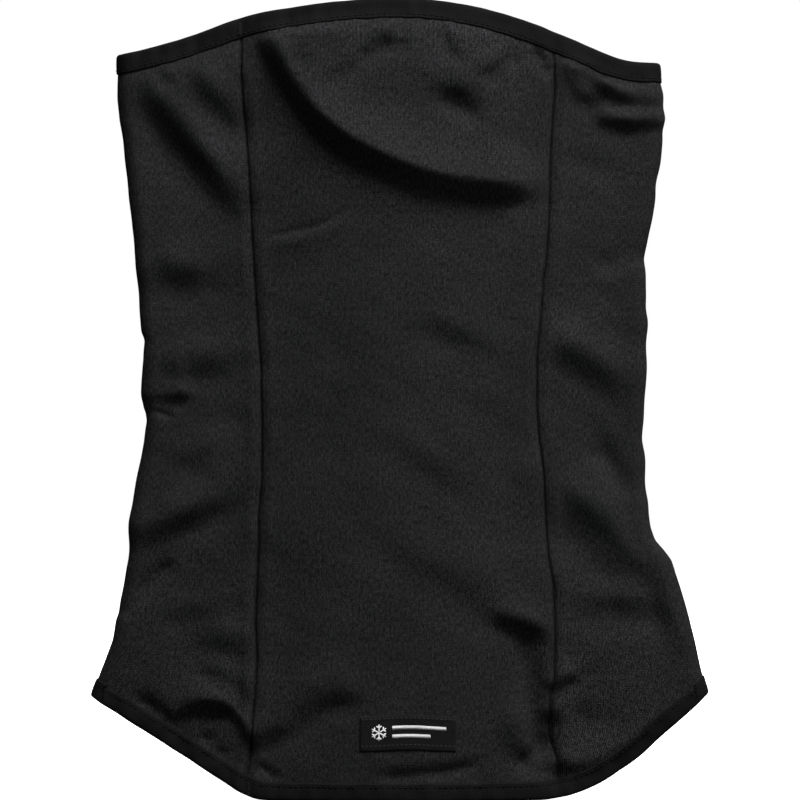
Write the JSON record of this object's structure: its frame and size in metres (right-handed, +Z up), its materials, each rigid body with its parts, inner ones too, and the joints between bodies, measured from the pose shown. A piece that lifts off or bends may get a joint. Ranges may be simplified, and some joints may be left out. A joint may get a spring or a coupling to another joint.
{
  "type": "neck gaiter",
  "caption": "Black stretch-fleece neck gaiter: four sewn knit panels, folded elastic binding at the domed top and shaped hem, small woven label low on the front.",
  "frame": {"origin": "centre of the tube between the side folds and between front and back, level with the lowest edge of the hem", "axes": "+Z runs up the neck towards the upper opening, -Y is the front that carries the label, +X is the wearer's left"},
  "size_m": [0.2886, 0.0418, 0.375],
  "materials": {
    "shell_knit": "matte",
    "binding_elastic": "satin",
    "label_weave": "satin",
    "emblem_thread": "satin",
    "sewing_thread": "satin",
    "care_label_satin": "satin"
  },
  "bodies": {
    "root": {"front_panel": "shell_knit", "back_panel": "shell_knit", "left_side_panel": "shell_knit", "right_side_panel": "shell_knit", "top_binding": "binding_elastic", "bottom_binding": "binding_elastic", "top_binding_bartack": "sewing_thread", "bottom_binding_bartack": "sewing_thread", "front_left_seam_thread": "sewing_thread", "front_right_seam_thread": "sewing_thread", "back_left_seam_thread": "sewing_thread", "back_right_seam_thread": "sewing_thread", "label_patch": "label_weave", "label_emblem": "emblem_thread", "label_stitch_top": "emblem_thread", "label_stitch_bottom": "emblem_thread", "care_label": "care_label_satin"}
  },
  "joints": []
}
